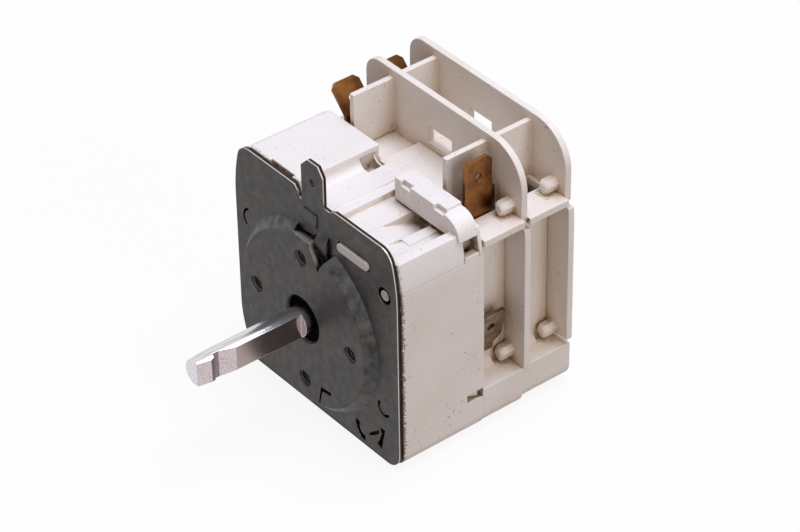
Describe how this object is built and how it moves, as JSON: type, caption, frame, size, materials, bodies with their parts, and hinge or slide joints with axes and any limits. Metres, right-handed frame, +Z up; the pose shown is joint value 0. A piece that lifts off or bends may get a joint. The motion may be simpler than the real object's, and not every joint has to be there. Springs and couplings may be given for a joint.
{
  "type": "washing machine timer",
  "caption": "Appliance programme timer with steel mounting plate, flatted knob shaft, cream plastic gear case and stacked switch chambers with brass spade terminals.",
  "frame": {"origin": "on the shaft's axis in the plate's mounting face, the front of its raised disc", "axes": "+X to the side face that carries the print, +Y back into the timer, +Z up to the earth spade; the shaft points along -Y"},
  "size_m": [0.0482, 0.0683, 0.0569],
  "materials": {
    "plate_steel": "dark passivated sheet steel",
    "shaft_metal": "bright die casting",
    "case_plastic": "satin cream moulding",
    "cover_plastic": "satin cream moulding",
    "switch_plastic": "satin cream moulding",
    "brass": "tarnished sheet brass",
    "tinned_brass": "tinned sheet brass",
    "black_plastic": "black acetal",
    "gear_plastic": "natural acetal",
    "motor_steel": "zinc plated steel",
    "pin_steel": "ground steel",
    "contact_silver": "silver contact"
  },
  "bodies": {
    "housing": {"mounting_plate": "plate_steel", "front_bush": "black_plastic", "gear_case": "case_plastic", "top_cover": "cover_plastic", "front_switch_body": "switch_plastic", "rear_switch_body": "switch_plastic", "back_cover": "switch_plastic", "case_pin": "pin_steel", "idler_axle": "pin_steel", "front_lever_pin": "pin_steel", "rear_lever_pin": "pin_steel", "motor_can": "motor_steel", "motor_lead_left": "tinned_brass", "motor_lead_right": "tinned_brass", "front_left_terminal": "brass", "rear_left_terminal": "brass", "front_right_upper_terminal": "brass", "front_right_lower_terminal": "tinned_brass", "rear_left_lower_terminal": "tinned_brass", "front_upper_contact": "contact_silver", "rear_upper_contact": "contact_silver", "front_lower_contact": "contact_silver"},
    "shaft": {"control_shaft": "shaft_metal", "clutch_collar": "pin_steel", "clutch_washer": "pin_steel", "front_cam": "gear_plastic", "rear_cam": "gear_plastic"},
    "main_gear": {"main_gear": "gear_plastic"},
    "idler": {"idler_gear": "gear_plastic"},
    "motor_pinion": {"motor_pinion": "gear_plastic"},
    "front_lever": {"front_lever": "gear_plastic"},
    "rear_lever": {"rear_lever": "gear_plastic"},
    "front_leaf": {"front_contact_leaf": "brass", "front_leaf_contact": "contact_silver"},
    "rear_leaf": {"rear_contact_leaf": "brass", "rear_leaf_contact": "contact_silver"}
  },
  "joints": [
    {"name": "shaft_turn", "type": "hinge", "parent": "housing", "child": "shaft", "pos_m": [0, 0, 0], "axis": [0, -1, 0], "range_deg": [0, 300]},
    {"name": "main_gear_turn", "type": "hinge", "parent": "housing", "child": "main_gear", "pos_m": [0, 0.0082, 0], "axis": [0, -1, 0], "continuous": true},
    {"name": "idler_turn", "type": "hinge", "parent": "housing", "child": "idler", "pos_m": [0.01057, 0.007, 0.00887], "axis": [0, -1, 0], "continuous": true},
    {"name": "motor_turn", "type": "hinge", "parent": "housing", "child": "motor_pinion", "pos_m": [-0.00141, 0.007, 0.01276], "axis": [0, -1, 0], "continuous": true},
    {"name": "front_lever_swing", "type": "hinge", "parent": "housing", "child": "front_lever", "pos_m": [-0.013, 0.027, 0.0106], "axis": [0, -1, 0], "range_deg": [-5.5, 0]},
    {"name": "front_leaf_flex", "type": "hinge", "parent": "housing", "child": "front_leaf", "pos_m": [-0.0134, 0.027, 0.0132], "axis": [0, -1, 0], "range_deg": [-5.5, 0]},
    {"name": "rear_lever_swing", "type": "hinge", "parent": "housing", "child": "rear_lever", "pos_m": [-0.013, 0.0375, 0.0106], "axis": [0, -1, 0], "range_deg": [-5.5, 0]},
    {"name": "rear_leaf_flex", "type": "hinge", "parent": "housing", "child": "rear_leaf", "pos_m": [-0.0134, 0.0375, 0.0132], "axis": [0, -1, 0], "range_deg": [-5.5, 0]}
  ],
  "couplings": [
    {"joint": "idler_turn", "follows": "main_gear_turn", "ratio": -3.6},
    {"joint": "motor_turn", "follows": "main_gear_turn", "ratio": 11.52},
    {"joint": "front_lever_swing", "follows": "shaft_turn", "ratio": -0.01833},
    {"joint": "rear_lever_swing", "follows": "shaft_turn", "ratio": -0.01833},
    {"joint": "front_leaf_flex", "follows": "shaft_turn", "ratio": -0.01769},
    {"joint": "rear_leaf_flex", "follows": "shaft_turn", "ratio": -0.01769}
  ]
}
